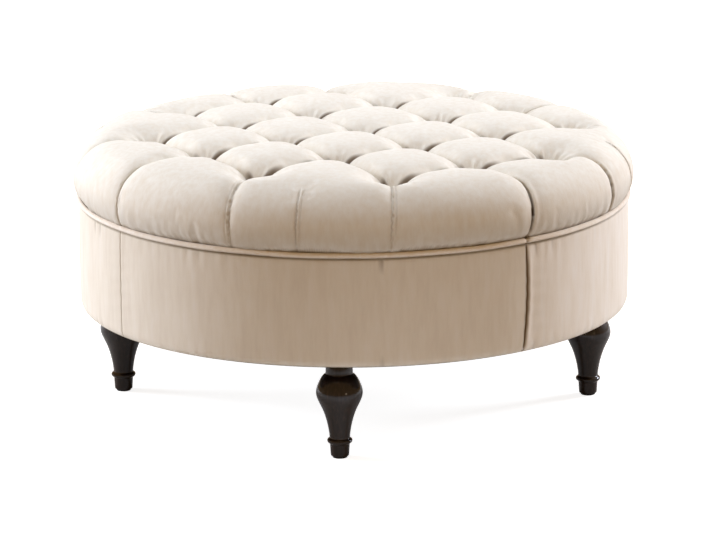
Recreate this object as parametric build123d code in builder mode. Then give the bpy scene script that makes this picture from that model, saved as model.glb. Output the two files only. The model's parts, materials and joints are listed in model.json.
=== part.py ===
# Round tufted footstool: a padded drum on four turned wooden legs.
# Millimetres, +Z up, origin on the floor under the middle of the drum.
# The legs stand on the X and Y axes, and -Y is the front.
import os
from math import atan2, cos, degrees, hypot, radians, sin, sqrt

from build123d import *

os.makedirs("parts", exist_ok=True)

# Drum
drum_radius = 457
drum_bottom_height = 164
drum_corner_radius = 8
fabric_thickness = 1.8
hem_width = 33
seam_angles = [-142.1, -49.3, 37.9, 130.7]
seam_gap = 0.3

# Welt: a covered cord round the top of the drum, sewn to a flat flange
welt_height = 348.5
welt_radius = 4.5
welt_stand_out = 3
welt_fabric_thickness = 1.2
welt_flange_width = 16
welt_flange_gap = 0.8
welt_flange_slack = 0.25
welt_joint_gap = 1.2
seat_middle_angle = 135
soft_gap = 0.3

# Cushion outline, outside of the cover
cushion_overhang = 9
bulge_rise = 31.5
rim_radius = 67.8
crown_rise = 12.2
cover_lip = 2
skirt_drop = 24
batting_thickness = 12

# Tufts: a square grid, turned on the drum, without its four corners
tuft_pitch = 156
tuft_turn = 37.9
tuft_centre_x = 12.7
tuft_centre_y = 5.7
tuft_half_count = 2
tuft_depth = 48
tuft_flare_radius = 60
crease_depth = 22
crease_puff_radius = 100
pleat_depth = 14
pleat_puff_radius = 60
pleat_lean = 2.5
pleat_end_angle = -25
half_pleat_angle = 75
half_pleat_share = 1.05
crossing_angle = 12
crossing_end_angle = 3
cut_overrun = 25

tuft_wall = 3
puff_fill_depth = 26
pocket_floor_radius = 18
pocket_mouth_radius = 31

# Buttons, twines and washers that hold the tufts
button_radius = 11.5
button_height = 7
button_round = 2
button_gap = 0.8
twine_radius = 0.9
twine_hole_radius = 1.4
knot_radius = 4
knot_drop = 3.4
washer_radius = 12
washer_thickness = 2
washer_bore_radius = 2.5
deck_hole_radius = 5

# Wooden frame
deck_drop = 2.5
deck_thickness = 12
ring_thickness = 18
upper_ring_width = 60
base_ring_width = 104
wrap_thickness = 3
wrap_joint_gap = 1.5
tack_strip_width = 12
tack_strip_thickness = 1.5
post_size = 38
post_count = 8
frame_edge_gap = 5
rail_width = 38
rail_depth = 38
rail_row_step = 1.5
block_width = 90
block_thickness = 18

# Screws and staples
screw_radius = 2
screw_head_radius = 4
screw_head_height = 2.5
frame_screw_length = 50
deck_screw_length = 28
deck_screw_count = 8
rail_screw_spacing = 200
staple_count = 24
staple_width = 10
staple_leg_length = 8
staple_wire = 0.9
staple_edge_gap = 8

# Legs
leg_count = 4
leg_inset = 65
leg_foot_radius = 16
leg_foot_round = 2
leg_bead_radius = 20
leg_waist_radius = 16.7
leg_belly_radius = 37.8
leg_neck_radius = 21.8
foot_top_share = 0.092
bead_shares = [0.125, 0.152, 0.188]
waist_share = 0.215
flare_shares = [(0.33, 0.525), (0.439, 0.655), (0.521, 0.815), (0.587, 0.94)]
belly_share = 0.64
shoulder_shares = [(0.714, 0.94), (0.796, 0.786)]
neck_share = 0.836
bolt_radius = 4
bolt_leg_length = 35
bolt_end_chamfer = 0.8
bolt_stand_out = 3
bolt_hole_radius = 4.5
nut_flange_radius = 11
nut_flange_thickness = 1.5
nut_barrel_radius = 5.2
nut_barrel_length = 10

# Glides under the feet
glide_radius = 12
glide_thickness = 3
glide_chamfer = 0.6
nail_radius = 1.2
nail_length = 18
nail_head_radius = 3.5
nail_head_thickness = 1
nail_recess = 0.8

# Dust cover under the drum
dust_cover_thickness = 0.8
dust_cover_inset = 11
dust_cover_leg_gap = 1

# Heights that follow from the sizes above
base_ring_bottom = drum_bottom_height + fabric_thickness
base_ring_top = base_ring_bottom + ring_thickness
block_top = base_ring_top + block_thickness
deck_top = welt_height - deck_drop
deck_bottom = deck_top - deck_thickness
upper_ring_bottom = deck_bottom - ring_thickness
skirt_bottom = deck_top - skirt_drop
band_top = welt_height - welt_radius - soft_gap
bulge_height = welt_height + bulge_rise
crown_height = bulge_height + rim_radius + crown_rise

twine_length = crown_height - tuft_depth - deck_bottom + washer_thickness + knot_drop
post_start_angle = 180 / post_count

# Radii that follow from the sizes above
welt_circle_radius = drum_radius + welt_stand_out - welt_radius
flange_radius = welt_circle_radius - welt_radius - welt_flange_gap
flange_inner_radius = flange_radius - welt_fabric_thickness
skirt_radius = flange_inner_radius - welt_flange_slack
wrap_radius = skirt_radius - fabric_thickness
frame_radius = wrap_radius - wrap_thickness
tack_strip_radius = flange_radius + tack_strip_thickness
band_inner_radius = drum_radius - fabric_thickness
base_ring_inner_radius = frame_radius - base_ring_width
upper_ring_inner_radius = frame_radius - upper_ring_width
leg_circle_radius = drum_radius - leg_inset
post_circle_radius = frame_radius - frame_edge_gap - post_size / 2
bulge_radius = drum_radius + cushion_overhang

# Circles of the cushion outline: rim above the bulge, tuck below it, and crown
rim_centre_radius = bulge_radius - rim_radius
tuck_width = bulge_radius - welt_circle_radius - cover_lip
tuck_height = bulge_height - welt_height - welt_radius - soft_gap
tuck_radius = (tuck_width**2 + tuck_height**2) / (2 * tuck_width)
tuck_centre_radius = bulge_radius - tuck_radius
rim_to_crown = rim_radius + crown_rise
crown_radius = (rim_centre_radius**2 + rim_to_crown**2 - rim_radius**2) / (2 * crown_rise)
crown_centre = Vector(0, 0, crown_height - crown_radius)
rim_crown_angle = degrees(atan2(crown_radius - rim_to_crown, rim_centre_radius))


def on_circle(centre_radius, centre_height, radius, angle):
    # A point of the outline, as distance from the middle and height
    across = centre_radius + radius * cos(radians(angle))
    return (across, centre_height + radius * sin(radians(angle)))


def crown_point(x, y):
    # The point of the crown above a place on the floor
    return Vector(x, y, crown_centre.Z + sqrt(crown_radius**2 - x**2 - y**2))


def tuft_place(column, row):
    # Where a grid place lies on the floor
    turn = radians(tuft_turn)
    along = column * tuft_pitch
    across = row * tuft_pitch
    x = tuft_centre_x + along * cos(turn) - across * sin(turn)
    y = tuft_centre_y + along * sin(turn) + across * cos(turn)
    return (x, y)


def is_corner(column, row):
    return abs(column) == tuft_half_count and abs(row) == tuft_half_count


def upper_outline(inset):
    # The upper outline of a layer, from the middle of the crown to the bulge
    crown_edge = on_circle(rim_centre_radius, bulge_height, rim_radius - inset, rim_crown_angle)
    crown_middle_angle = (rim_crown_angle + 90) / 2
    crown_middle = on_circle(0, crown_centre.Z, crown_radius - inset, crown_middle_angle)
    rim_middle = on_circle(rim_centre_radius, bulge_height, rim_radius - inset, rim_crown_angle / 2)
    edge_slope = radians(90 - rim_crown_angle)
    Spline((0, crown_height - inset), crown_middle, crown_edge,
           tangents=[(1, 0), (cos(edge_slope), -sin(edge_slope))])
    ThreePointArc(crown_edge, rim_middle, (bulge_radius - inset, bulge_height))


def puff_section(plane, depth, radius):
    # A crease between two puffs: two round shoulders that meet in a sharp valley
    centre_down = radius * cos(radians(crossing_angle))
    centre_out = sqrt(radius**2 - (centre_down - depth) ** 2)
    valley_angle = degrees(atan2(centre_out, centre_down - depth))
    middle_angle = radians((valley_angle + crossing_end_angle) / 2)
    end_angle = radians(crossing_end_angle)
    middle = (centre_out - radius * sin(middle_angle), radius * cos(middle_angle) - centre_down)
    end = (centre_out - radius * sin(end_angle), radius * cos(end_angle) - centre_down)
    with BuildSketch(plane) as section:
        with BuildLine():
            ThreePointArc((0, -depth), middle, end)
            Polyline(end, (end[0], cut_overrun), (-end[0], cut_overrun), (-end[0], end[1]))
            ThreePointArc((-end[0], end[1]), (-middle[0], middle[1]), (0, -depth))
        make_face()
    return section.sketch


def tuft_section(plane):
    # Half of a tuft's hollow: a flat floor for the button and a flared wall
    radius = tuft_flare_radius
    centre_down = radius * cos(radians(crossing_angle))
    floor_radius = button_radius + button_gap
    centre_out = floor_radius + sqrt(radius**2 - (centre_down - tuft_depth) ** 2)
    floor_angle = degrees(atan2(centre_out - floor_radius, centre_down - tuft_depth))
    middle_angle = radians((floor_angle + crossing_end_angle) / 2)
    end_angle = radians(crossing_end_angle)
    middle = (centre_out - radius * sin(middle_angle), radius * cos(middle_angle) - centre_down)
    end = (centre_out - radius * sin(end_angle), radius * cos(end_angle) - centre_down)
    with BuildSketch(plane) as section:
        with BuildLine():
            Polyline((0, cut_overrun), (0, -tuft_depth), (floor_radius, -tuft_depth))
            ThreePointArc((floor_radius, -tuft_depth), middle, end)
            Polyline(end, (end[0], cut_overrun), (0, cut_overrun))
        make_face()
    return section.sketch


def tuft_plane(column, row):
    # A plane on the crown over a tuft, facing straight out of the crown
    point = crown_point(*tuft_place(column, row))
    return Plane(origin=point, z_dir=point - crown_centre)


tuft_steps = range(-tuft_half_count, tuft_half_count + 1)
tufts = [(c, r) for c in tuft_steps for r in tuft_steps if not is_corner(c, r)]
corners = [(c, r) for c in tuft_steps for r in tuft_steps if is_corner(c, r)]
edge_tufts = [(c, r) for c, r in tufts if max(abs(c), abs(r)) == tuft_half_count]
creases = [((c, r), (c + 1, r)) for c, r in tufts if (c + 1, r) in tufts]
creases += [((c, r), (c, r + 1)) for c, r in tufts if (c, r + 1) in tufts]


def pleat_angle(column, row):
    # A pleat runs straight out, leaning to the nearest corner of the grid
    x, y = tuft_place(column, row)
    corner_side = column * row * (abs(column) - abs(row))
    lean = 0
    if corner_side:
        lean = pleat_lean if corner_side > 0 else -pleat_lean
    return degrees(atan2(y, x)) + lean


def tuft_cutter(column, row):
    top = tuft_plane(column, row)
    upright = Plane(origin=top.origin, x_dir=top.x_dir, z_dir=-top.y_dir)
    with BuildPart() as cutter:
        revolve(tuft_section(upright), axis=Axis(top.origin, top.z_dir))
    return cutter.part


def crease_cutter(first, second):
    start = crown_point(*tuft_place(*first))
    end = crown_point(*tuft_place(*second))
    outward = (start + end) / 2 - crown_centre
    run = end - start
    plane = Plane(origin=start, x_dir=outward.cross(run), z_dir=run)
    with BuildPart() as cutter:
        extrude(puff_section(plane, crease_depth, crease_puff_radius), amount=run.length)
    return cutter.part


def swept_cutter(path, start, slope, upright):
    # Sweeps a pleat's section down its path, from a start on the crown
    origin = upright.from_local_coords(Vector(0, 0, 0))
    run = upright.from_local_coords(Vector(cos(slope), -sin(slope), 0)) - origin
    point = upright.from_local_coords(Vector(start[0], start[1], 0))
    plane = Plane(origin=point, x_dir=-upright.z_dir, z_dir=run)
    with BuildPart() as cutter:
        sweep(puff_section(plane, pleat_depth, pleat_puff_radius), path=path)
    return cutter.part


def pleat_cutter(column, row):
    upright = Plane.XZ.rotated((0, 0, pleat_angle(column, row)))
    start_radius = hypot(*tuft_place(column, row))
    arc_start = on_circle(rim_centre_radius, bulge_height, rim_radius, rim_crown_angle)
    slope = radians(90 - rim_crown_angle)
    rise = (arc_start[0] - start_radius) * sin(slope) / cos(slope)
    start = (start_radius, arc_start[1] + rise)
    with BuildLine(upright) as path:
        Line(start, arc_start)
        CenterArc((rim_centre_radius, bulge_height), rim_radius, rim_crown_angle,
                  pleat_end_angle - rim_crown_angle)
    return swept_cutter(path.wires()[0], start, slope, upright)


def half_pleat_cutter(column, row):
    # A short pleat that starts at nothing on the rim and deepens to the welt
    x, y = tuft_place(column, row)
    upright = Plane.XZ.rotated((0, 0, degrees(atan2(y, x))))
    shift = pleat_depth * half_pleat_share
    centre = on_circle(rim_centre_radius, bulge_height, shift, half_pleat_angle)
    start = on_circle(*centre, rim_radius, half_pleat_angle)
    with BuildLine(upright) as path:
        CenterArc(centre, rim_radius, half_pleat_angle, pleat_end_angle - half_pleat_angle)
    slope = radians(90 - half_pleat_angle)
    return swept_cutter(path.wires()[0], start, slope, upright)


def cushion_cutters():
    cutters = [crease_cutter(first, second) for first, second in creases]
    cutters += [pleat_cutter(column, row) for column, row in edge_tufts]
    cutters += [half_pleat_cutter(column, row) for column, row in corners]
    cutters += [tuft_cutter(column, row) for column, row in tufts]
    return cutters


def cover_outline():
    # The outside of the cover: pulled in under its bulge, round the welt and down
    seat = welt_radius + soft_gap
    seat_start = (welt_circle_radius - sqrt(seat**2 - soft_gap**2), welt_height + soft_gap)
    seat_middle = on_circle(welt_circle_radius, welt_height, seat, seat_middle_angle)
    lip_angle = -degrees(atan2(tuck_height, tuck_radius - tuck_width))
    lip = on_circle(tuck_centre_radius, bulge_height, tuck_radius, lip_angle)
    tuck_middle = on_circle(tuck_centre_radius, bulge_height, tuck_radius, lip_angle / 2)
    with BuildSketch(Plane.XZ) as outline:
        with BuildLine():
            upper_outline(0)
            ThreePointArc((bulge_radius, bulge_height), tuck_middle, lip)
            Line(lip, (welt_circle_radius, lip[1]))
            ThreePointArc((welt_circle_radius, lip[1]), seat_middle, seat_start)
            Polyline(seat_start, (skirt_radius, seat_start[1]), (skirt_radius, skirt_bottom),
                     (0, skirt_bottom), (0, crown_height))
        make_face()
    return outline.sketch


def core_outline(inset):
    # The outline of a layer inside the cover, which stands straight on the deck
    with BuildSketch(Plane.XZ) as outline:
        with BuildLine():
            upper_outline(inset)
            Polyline((bulge_radius - inset, bulge_height), (bulge_radius - inset, deck_top),
                     (0, deck_top), (0, crown_height - inset))
        make_face()
    return outline.sketch


def tuft_bottom(column, row, depth):
    # A plane across a tuft, at a depth under the crown
    top = tuft_plane(column, row)
    return Plane(origin=top.origin - top.z_dir * depth, z_dir=top.z_dir)


bottom_aligned = (Align.CENTER, Align.CENTER, Align.MIN)
top_aligned = (Align.CENTER, Align.CENTER, Align.MAX)
corner_aligned = (Align.MIN, Align.MAX)
floor_planes = [tuft_bottom(column, row, tuft_depth) for column, row in tufts]
pocket_planes = [tuft_bottom(column, row, tuft_depth + tuft_wall) for column, row in tufts]
deck_points = []
for floor in floor_planes:
    drop = (floor.origin.Z - deck_bottom) / floor.z_dir.Z
    deck_points.append(floor.origin - floor.z_dir * drop)

# Twines: one down from each button to a knot under the deck
with BuildPart() as tuft_twines:
    for floor in floor_planes:
        with Locations(floor):
            Cylinder(twine_radius, twine_length, align=top_aligned)
    with Locations([point - Vector(0, 0, washer_thickness + knot_drop) for point in deck_points]):
        Sphere(knot_radius)
tuft_twines.part.label = "tuft_twines"
export_step(tuft_twines.part, "parts/tuft_twines.step")

# Washers under the deck, one at each twine
with BuildPart() as tuft_washers:
    with Locations(deck_points):
        Cylinder(washer_radius, washer_thickness, align=top_aligned)
        Cylinder(washer_bore_radius, washer_thickness, align=top_aligned, mode=Mode.SUBTRACT)
tuft_washers.part.label = "tuft_washers"
export_step(tuft_washers.part, "parts/tuft_washers.step")

# Buttons at the bottoms of the tufts
with BuildPart() as tuft_buttons:
    with Locations(floor_planes):
        Cylinder(button_radius, button_height, align=bottom_aligned)
    fillet(tuft_buttons.edges().filter_by(GeomType.CIRCLE), button_round)
tuft_buttons.part.label = "tuft_buttons"
export_step(tuft_buttons.part, "parts/tuft_buttons.step")

# Twine holes and tuft pockets, cut from the layers under the buttons
with BuildPart() as twine_holes:
    for floor in floor_planes:
        with Locations(floor):
            Cylinder(twine_hole_radius, twine_length, align=top_aligned)

with BuildPart() as tuft_pockets:
    for pocket in pocket_planes:
        with Locations(pocket):
            Cone(pocket_floor_radius, pocket_mouth_radius, tuft_depth, align=bottom_aligned)

# Foam pad, glued to the deck
with BuildPart() as foam_pad:
    revolve(core_outline(puff_fill_depth + batting_thickness), axis=Axis.Z)
    for pocket in pocket_planes:
        with Locations(pocket):
            Cone(pocket_floor_radius, pocket_mouth_radius, tuft_depth, align=bottom_aligned,
                 mode=Mode.SUBTRACT)
            Cylinder(twine_hole_radius, twine_length, align=top_aligned, mode=Mode.SUBTRACT)
foam_pad.part.label = "foam_pad"
export_step(foam_pad.part, "parts/foam_pad.step")

# Batting laid over the foam
with BuildPart() as cushion_batting:
    revolve(core_outline(puff_fill_depth), axis=Axis.Z)
    revolve(core_outline(puff_fill_depth + batting_thickness), axis=Axis.Z, mode=Mode.SUBTRACT)
    add(tuft_pockets.part, mode=Mode.SUBTRACT)
cushion_batting.part.label = "cushion_batting"
export_step(cushion_batting.part, "parts/cushion_batting.step")

# Tufted cover with the filling of its puffs, and its skirt down the frame
with BuildPart() as inner_form:
    revolve(core_outline(puff_fill_depth), axis=Axis.Z)
    add(tuft_pockets.part, mode=Mode.SUBTRACT)

with BuildPart() as tufted_cover:
    revolve(cover_outline(), axis=Axis.Z)
    for cutter in cushion_cutters():
        add(cutter, mode=Mode.SUBTRACT)
    add(inner_form.part, mode=Mode.SUBTRACT)
    with Locations((0, 0, skirt_bottom)):
        Cylinder(wrap_radius, skirt_drop, align=bottom_aligned, mode=Mode.SUBTRACT)
    add(twine_holes.part, mode=Mode.SUBTRACT)
    # The cuts can leave flakes of no volume over a tuft, and only the cover itself is kept
    add(tufted_cover.solids().sort_by(SortBy.VOLUME)[-1], mode=Mode.REPLACE)
tufted_cover.part.label = "tufted_cover"
export_step(tufted_cover.part, "parts/tufted_cover.step")

# Screws through the rings into the posts, heads flush with the rings
with BuildPart() as frame_screws:
    with PolarLocations(post_circle_radius, post_count, start_angle=post_start_angle):
        with Locations((0, 0, base_ring_bottom)):
            Cylinder(screw_radius, frame_screw_length, align=bottom_aligned)
            Cone(screw_head_radius, screw_radius, screw_head_height, align=bottom_aligned)
        with Locations((0, 0, deck_bottom)):
            Cylinder(screw_radius, frame_screw_length, align=top_aligned)
            Cone(screw_radius, screw_head_radius, screw_head_height, align=top_aligned)
frame_screws.part.label = "frame_screws"
export_step(frame_screws.part, "parts/frame_screws.step")

# Screws through the deck into the upper ring and the rails
rail_offset = rail_row_step * tuft_pitch
rail_frame = Plane(origin=(tuft_centre_x, tuft_centre_y, 0)).rotated((0, 0, tuft_turn))
rail_screw_points = []
for side in (-1, 1):
    for step in (-1, 0, 1):
        on_rail = Vector(step * rail_screw_spacing, side * rail_offset, deck_top)
        rail_screw_points.append(rail_frame.from_local_coords(on_rail))
with BuildPart() as deck_screws:
    with PolarLocations(frame_radius - upper_ring_width / 2, deck_screw_count):
        with Locations((0, 0, deck_top)):
            Cylinder(screw_radius, deck_screw_length, align=top_aligned)
            Cone(screw_radius, screw_head_radius, screw_head_height, align=top_aligned)
    with Locations(rail_screw_points):
        Cylinder(screw_radius, deck_screw_length, align=top_aligned)
        Cone(screw_radius, screw_head_radius, screw_head_height, align=top_aligned)
deck_screws.part.label = "deck_screws"
export_step(deck_screws.part, "parts/deck_screws.step")

# Staples through the dust cover and the hem into the base ring
staple_circle_radius = frame_radius - staple_edge_gap
dust_cover_bottom = drum_bottom_height - dust_cover_thickness
with BuildPart() as dust_cover_staples:
    with PolarLocations(staple_circle_radius, staple_count, start_angle=180 / staple_count):
        with Locations((0, 0, dust_cover_bottom)):
            Box(staple_wire, staple_width, staple_wire, align=top_aligned)
        with Locations((0, 0, dust_cover_bottom - staple_wire)):
            with GridLocations(0, staple_width - staple_wire, 1, 2):
                Box(staple_wire, staple_wire, staple_leg_length, align=bottom_aligned)
dust_cover_staples.part.label = "dust_cover_staples"
export_step(dust_cover_staples.part, "parts/dust_cover_staples.step")

# Deck board on top of the frame
with BuildPart() as deck_board:
    with Locations((0, 0, deck_bottom)):
        Cylinder(frame_radius, deck_thickness, align=bottom_aligned)
    with Locations(deck_points):
        Cylinder(deck_hole_radius, deck_thickness, align=bottom_aligned, mode=Mode.SUBTRACT)
    add(deck_screws.part, mode=Mode.SUBTRACT)
deck_board.part.label = "deck_board"
export_step(deck_board.part, "parts/deck_board.step")

# Upper ring under the deck
with BuildPart() as upper_ring:
    with Locations((0, 0, upper_ring_bottom)):
        Cylinder(frame_radius, ring_thickness, align=bottom_aligned)
        Cylinder(upper_ring_inner_radius, ring_thickness, align=bottom_aligned, mode=Mode.SUBTRACT)
    add(deck_screws.part, mode=Mode.SUBTRACT)
    add(frame_screws.part, mode=Mode.SUBTRACT)
upper_ring.part.label = "upper_ring"
export_step(upper_ring.part, "parts/upper_ring.step")

# Two rails across the ring, between rows of tufts
with BuildPart() as deck_rails:
    with BuildSketch(Plane.XY.offset(deck_bottom)):
        with Locations(Location((tuft_centre_x, tuft_centre_y, 0), (0, 0, tuft_turn))):
            with GridLocations(0, 2 * rail_offset, 1, 2):
                Rectangle(2 * frame_radius, rail_width)
        Circle(upper_ring_inner_radius, mode=Mode.INTERSECT)
    extrude(amount=-rail_depth)
    add(deck_screws.part, mode=Mode.SUBTRACT)
deck_rails.part.label = "deck_rails"
export_step(deck_rails.part, "parts/deck_rails.step")

# Posts between the rings
with BuildPart() as frame_posts:
    with PolarLocations(post_circle_radius, post_count, start_angle=post_start_angle):
        with Locations((0, 0, base_ring_top)):
            Box(post_size, post_size, upper_ring_bottom - base_ring_top, align=bottom_aligned)
    add(frame_screws.part, mode=Mode.SUBTRACT)
frame_posts.part.label = "frame_posts"
export_step(frame_posts.part, "parts/frame_posts.step")

# Leg hardware: a bolt up from each leg into a nut on the leg block
bolt_length = bolt_leg_length + block_top + nut_flange_thickness + bolt_stand_out - base_ring_bottom
with BuildPart() as hanger_bolts:
    with PolarLocations(leg_circle_radius, leg_count):
        with Locations((0, 0, base_ring_bottom - bolt_leg_length)):
            Cylinder(bolt_radius, bolt_length, align=bottom_aligned)
    chamfer(hanger_bolts.edges().filter_by(GeomType.CIRCLE), bolt_end_chamfer)
hanger_bolts.part.label = "hanger_bolts"
export_step(hanger_bolts.part, "parts/hanger_bolts.step")

with BuildPart() as t_nuts:
    with PolarLocations(leg_circle_radius, leg_count):
        with Locations((0, 0, block_top)):
            Cylinder(nut_flange_radius, nut_flange_thickness, align=bottom_aligned)
            Cylinder(nut_barrel_radius, nut_barrel_length, align=top_aligned)
    add(hanger_bolts.part, mode=Mode.SUBTRACT)
t_nuts.part.label = "t_nuts"
export_step(t_nuts.part, "parts/t_nuts.step")

# Blocks over the legs, glued on the base ring
block_outer = sqrt((frame_radius - frame_edge_gap) ** 2 - (block_width / 2) ** 2)
block_depth = 2 * (block_outer - leg_circle_radius)
with BuildPart() as leg_blocks:
    with PolarLocations(leg_circle_radius, leg_count):
        with Locations((0, 0, base_ring_top)):
            Box(block_depth, block_width, block_thickness, align=bottom_aligned)
            Cylinder(bolt_hole_radius, block_thickness, align=bottom_aligned, mode=Mode.SUBTRACT)
    add(t_nuts.part, mode=Mode.SUBTRACT)
leg_blocks.part.label = "leg_blocks"
export_step(leg_blocks.part, "parts/leg_blocks.step")

# Base ring that the legs bolt to
with BuildPart() as base_ring:
    with Locations((0, 0, base_ring_bottom)):
        Cylinder(frame_radius, ring_thickness, align=bottom_aligned)
        Cylinder(base_ring_inner_radius, ring_thickness, align=bottom_aligned, mode=Mode.SUBTRACT)
    with PolarLocations(leg_circle_radius, leg_count):
        with Locations((0, 0, base_ring_bottom)):
            Cylinder(bolt_hole_radius, ring_thickness, align=bottom_aligned, mode=Mode.SUBTRACT)
    add(frame_screws.part, mode=Mode.SUBTRACT)
    add(dust_cover_staples.part, mode=Mode.SUBTRACT)
base_ring.part.label = "base_ring"
export_step(base_ring.part, "parts/base_ring.step")

# Board bent round the frame, with a joint at the back
with BuildPart() as side_wrap:
    with Locations((0, 0, base_ring_bottom)):
        Cylinder(wrap_radius, deck_top - base_ring_bottom, align=bottom_aligned)
        Cylinder(frame_radius, deck_top - base_ring_bottom, align=bottom_aligned, mode=Mode.SUBTRACT)
    with Locations((0, frame_radius, base_ring_bottom)):
        Box(wrap_joint_gap, frame_radius, deck_top, align=bottom_aligned, mode=Mode.SUBTRACT)
side_wrap.part.label = "side_wrap"
export_step(side_wrap.part, "parts/side_wrap.step")

# Padding under the band, thinner over the tack strip
with BuildPart() as side_padding:
    with BuildSketch(Plane.XZ):
        with BuildLine():
            Polyline((wrap_radius, base_ring_bottom), (band_inner_radius, base_ring_bottom),
                     (band_inner_radius, band_top - fabric_thickness),
                     (tack_strip_radius, band_top - fabric_thickness),
                     (tack_strip_radius, skirt_bottom), (wrap_radius, skirt_bottom),
                     (wrap_radius, base_ring_bottom))
        make_face()
    revolve(axis=Axis.Z)
    fillet(side_padding.edges().group_by(Axis.Z)[0].sort_by(SortBy.RADIUS)[-1],
           drum_corner_radius - fabric_thickness)
side_padding.part.label = "side_padding"
export_step(side_padding.part, "parts/side_padding.step")

# Band of four fabric panels, each hemmed under the drum
panel_names = ["front", "right", "back", "left"]
gap_angle = degrees(seam_gap / drum_radius)
for index, name in enumerate(panel_names):
    next_angle = seam_angles[(index + 1) % len(seam_angles)]
    panel_angle = (next_angle - seam_angles[index]) % 360 - gap_angle
    with BuildPart() as band_panel:
        with BuildSketch(Plane.XZ.rotated((0, 0, seam_angles[index] + gap_angle / 2))):
            with BuildLine():
                Polyline((tack_strip_radius, band_top), (drum_radius, band_top),
                         (drum_radius, drum_bottom_height + drum_corner_radius))
                RadiusArc((drum_radius, drum_bottom_height + drum_corner_radius),
                          (drum_radius - drum_corner_radius, drum_bottom_height), drum_corner_radius)
                Polyline((drum_radius - drum_corner_radius, drum_bottom_height),
                         (drum_radius - hem_width, drum_bottom_height),
                         (drum_radius - hem_width, base_ring_bottom),
                         (drum_radius - drum_corner_radius, base_ring_bottom))
                RadiusArc((drum_radius - drum_corner_radius, base_ring_bottom),
                          (band_inner_radius, drum_bottom_height + drum_corner_radius),
                          fabric_thickness - drum_corner_radius)
                Polyline((band_inner_radius, drum_bottom_height + drum_corner_radius),
                         (band_inner_radius, band_top - fabric_thickness),
                         (tack_strip_radius, band_top - fabric_thickness),
                         (tack_strip_radius, band_top))
            make_face()
        revolve(axis=Axis.Z, revolution_arc=panel_angle)
        add(dust_cover_staples.part, mode=Mode.SUBTRACT)
    band_panel.part.label = "band_panel_" + name
    export_step(band_panel.part, "parts/band_panel_" + name + ".step")

# Strip of card that holds the top edge of the band
with BuildPart() as tack_strip:
    with Locations((0, 0, band_top)):
        Cylinder(tack_strip_radius, tack_strip_width, align=top_aligned)
        Cylinder(flange_radius, tack_strip_width, align=top_aligned, mode=Mode.SUBTRACT)
tack_strip.part.label = "tack_strip"
export_step(tack_strip.part, "parts/tack_strip.step")

# Welt: fabric sewn round a cord, its ends butted over a seam of the band
joint_angle = degrees(welt_joint_gap / welt_circle_radius)
welt_start = Plane.XZ.rotated((0, 0, seam_angles[1] + joint_angle / 2))
cord_radius = welt_radius - welt_fabric_thickness
with BuildPart() as welt_cord:
    with BuildSketch(welt_start):
        with Locations((welt_circle_radius, welt_height)):
            Circle(cord_radius)
    revolve(axis=Axis.Z, revolution_arc=360 - joint_angle)
welt_cord.part.label = "welt_cord"
export_step(welt_cord.part, "parts/welt_cord.step")

with BuildPart() as welt_cover:
    with BuildSketch(welt_start):
        with Locations((flange_inner_radius, welt_height)):
            Rectangle(welt_fabric_thickness, welt_flange_width, align=corner_aligned)
            Rectangle(welt_circle_radius - flange_inner_radius, welt_fabric_thickness,
                      align=corner_aligned)
        with Locations((welt_circle_radius, welt_height)):
            Circle(welt_radius)
            Circle(cord_radius, mode=Mode.SUBTRACT)
    revolve(axis=Axis.Z, revolution_arc=360 - joint_angle)
welt_cover.part.label = "welt_cover"
export_step(welt_cover.part, "parts/welt_cover.step")

# Dust cover under the drum, cut out round the legs
with BuildPart() as dust_cover:
    with Locations((0, 0, drum_bottom_height)):
        Cylinder(drum_radius - dust_cover_inset, dust_cover_thickness, align=top_aligned)
    with PolarLocations(leg_circle_radius, leg_count):
        with Locations((0, 0, drum_bottom_height)):
            Cylinder(leg_neck_radius + dust_cover_leg_gap, dust_cover_thickness, align=top_aligned,
                     mode=Mode.SUBTRACT)
    add(dust_cover_staples.part, mode=Mode.SUBTRACT)
dust_cover.part.label = "dust_cover"
export_step(dust_cover.part, "parts/dust_cover.step")

# Nails and glides under the feet
with BuildPart() as glide_nails:
    with PolarLocations(leg_circle_radius, leg_count):
        with Locations((0, 0, nail_recess)):
            Cylinder(nail_head_radius, nail_head_thickness, align=bottom_aligned)
            Cylinder(nail_radius, nail_length, align=bottom_aligned)
glide_nails.part.label = "glide_nails"
export_step(glide_nails.part, "parts/glide_nails.step")

with BuildPart() as foot_glides:
    with PolarLocations(leg_circle_radius, leg_count):
        Cylinder(glide_radius, glide_thickness, align=bottom_aligned)
    chamfer(foot_glides.edges().group_by(Axis.Z)[0], glide_chamfer)
    with PolarLocations(leg_circle_radius, leg_count):
        Cylinder(nail_head_radius, nail_recess, align=bottom_aligned, mode=Mode.SUBTRACT)
    add(glide_nails.part, mode=Mode.SUBTRACT)
foot_glides.part.label = "foot_glides"
export_step(foot_glides.part, "parts/foot_glides.step")

# Legs: turned, with a foot, a bead, a waist and a bulb under a plain neck
leg_height = base_ring_bottom - glide_thickness


def leg_point(height_share, radius):
    return (radius, glide_thickness + height_share * leg_height)


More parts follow.
